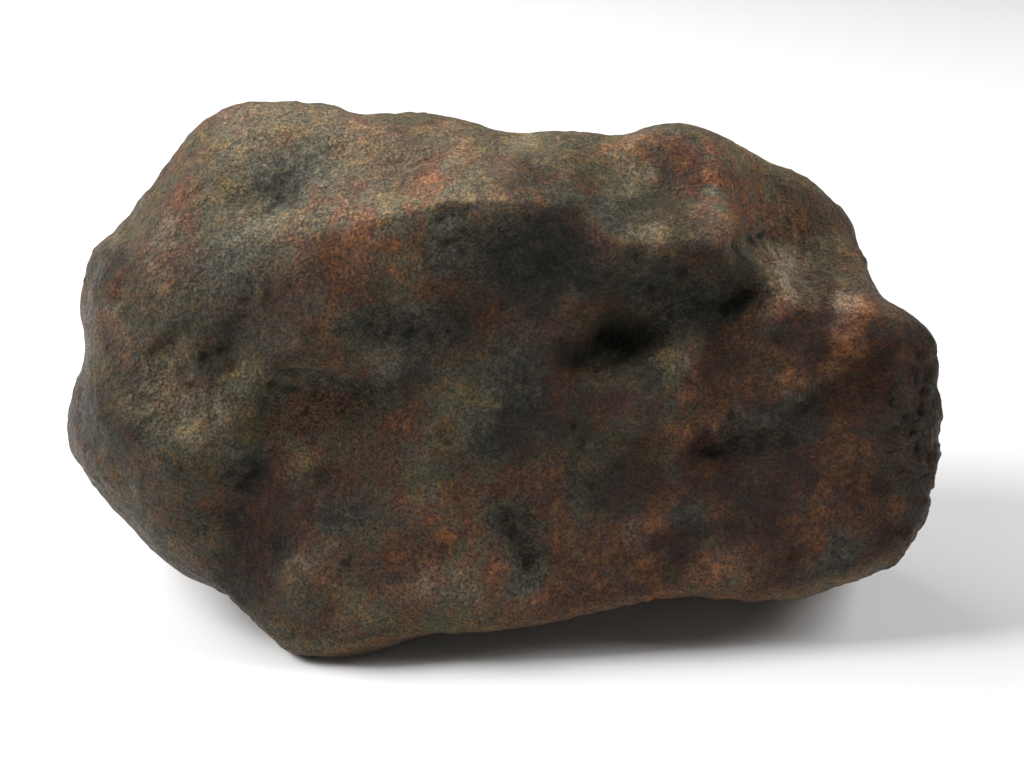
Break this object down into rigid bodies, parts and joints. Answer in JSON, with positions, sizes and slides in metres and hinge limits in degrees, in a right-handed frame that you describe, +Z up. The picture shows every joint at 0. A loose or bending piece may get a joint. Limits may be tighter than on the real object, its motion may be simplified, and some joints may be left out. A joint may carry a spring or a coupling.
{
  "type": "meteorite",
  "caption": "Weathered lump of an iron meteorite with a rusty dark brown skin, shallow thumbprint hollows, soft crests and a deep hollow in its broad face; a display or study specimen.",
  "frame": {"origin": "Middle of the lump's box, on the surface that it rests on.", "axes": "+Z is up, +X runs along the lump's length and the broad face with the deep hollow looks towards -Y, leaning back."},
  "size_m": [0.1484, 0.0756, 0.0831],
  "materials": {
    "weathered_iron": "matte"
  },
  "bodies": {
    "root": {"meteorite": "weathered_iron"}
  },
  "joints": []
}
